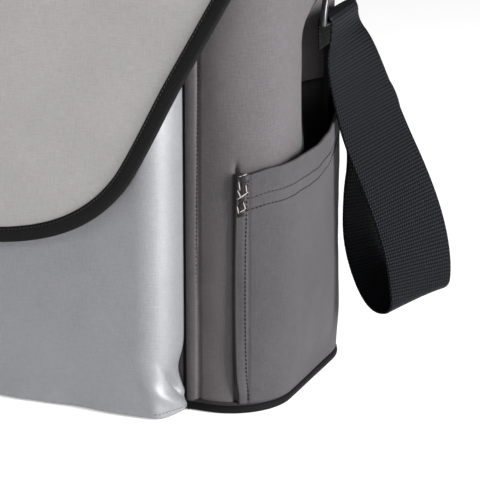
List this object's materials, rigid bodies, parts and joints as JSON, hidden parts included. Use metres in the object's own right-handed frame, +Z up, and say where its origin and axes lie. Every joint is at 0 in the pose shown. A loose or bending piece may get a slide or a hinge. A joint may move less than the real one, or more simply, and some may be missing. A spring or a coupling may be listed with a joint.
{
  "type": "mail carrier satchel",
  "caption": "Soft canvas shoulder bag for carrying mail: bound flap over a boxed front pocket, open side pockets, piped base and an adjustable webbing strap.",
  "frame": {"origin": "centre of the bag's base, on the surface it stands on; the strap is left out of the box", "axes": "+Z up, the flap and front pocket face -Y, +X to the right of a viewer looking at the front"},
  "size_m": [0.5215, 0.221, 0.308],
  "materials": {
    "gusset_canvas": "matt lined canvas",
    "silver_canvas": "coated canvas with a satin sheen",
    "flap_canvas": "matt light grey canvas",
    "black_grosgrain": "ribbed binding tape",
    "black_piping": "satin covered cord",
    "black_base": "matt coated cloth",
    "stiffener": "matt board",
    "lining_cloth": "thin woven lining",
    "closure_tape": "hook and loop pile",
    "dark_thread": "dense stitching",
    "black_webbing": "ribbed polypropylene webbing",
    "ring_steel": "black coated steel wire"
  },
  "bodies": {
    "bag": {"front_panel": "gusset_canvas", "back_panel": "gusset_canvas", "gusset_right": "gusset_canvas", "gusset_left": "gusset_canvas", "seam_strip_right": "gusset_canvas", "seam_strip_left": "gusset_canvas", "base_piping": "black_piping", "base_panel": "black_base", "base_board": "stiffener", "mouth_binding": "black_grosgrain", "sleeve_divider": "lining_cloth", "front_pocket_panel": "silver_canvas", "front_pocket_hem": "silver_canvas", "hook_tape_right": "closure_tape", "hook_tape_left": "closure_tape", "side_pocket_right": "gusset_canvas", "side_pocket_left": "gusset_canvas", "bartack_right": "dark_thread", "bartack_left": "dark_thread", "anchor_tab_right": "black_webbing", "anchor_tab_left": "black_webbing"},
    "flap_top": {"flap_top_lining": "lining_cloth", "flap_top_panel": "flap_canvas", "flap_top_binding_right": "black_grosgrain", "flap_top_binding_left": "black_grosgrain"},
    "flap_front": {"flap_front_lining": "lining_cloth", "flap_front_panel": "flap_canvas", "flap_front_binding": "black_grosgrain", "loop_tape_right": "closure_tape", "loop_tape_left": "closure_tape"},
    "shoulder_strap": {"strap_main": "black_webbing", "strap_slack_loop": "black_webbing", "ring_right": "ring_steel", "ring_left": "ring_steel"}
  },
  "joints": [
    {"name": "flap_hinge", "type": "hinge", "parent": "bag", "child": "flap_top", "pos_m": [0, 0.0985, 0.303], "axis": [-1, 0, 0], "range_deg": [0, 170]},
    {"name": "flap_fold", "type": "hinge", "parent": "flap_top", "child": "flap_front", "pos_m": [0, -0.0805, 0.3055], "axis": [-1, 0, 0], "range_deg": [0, 90]},
    {"name": "strap_swing", "type": "hinge", "parent": "bag", "child": "shoulder_strap", "pos_m": [0, 0.05, 0.25], "axis": [1, 0, 0], "range_deg": [0, 35]}
  ]
}
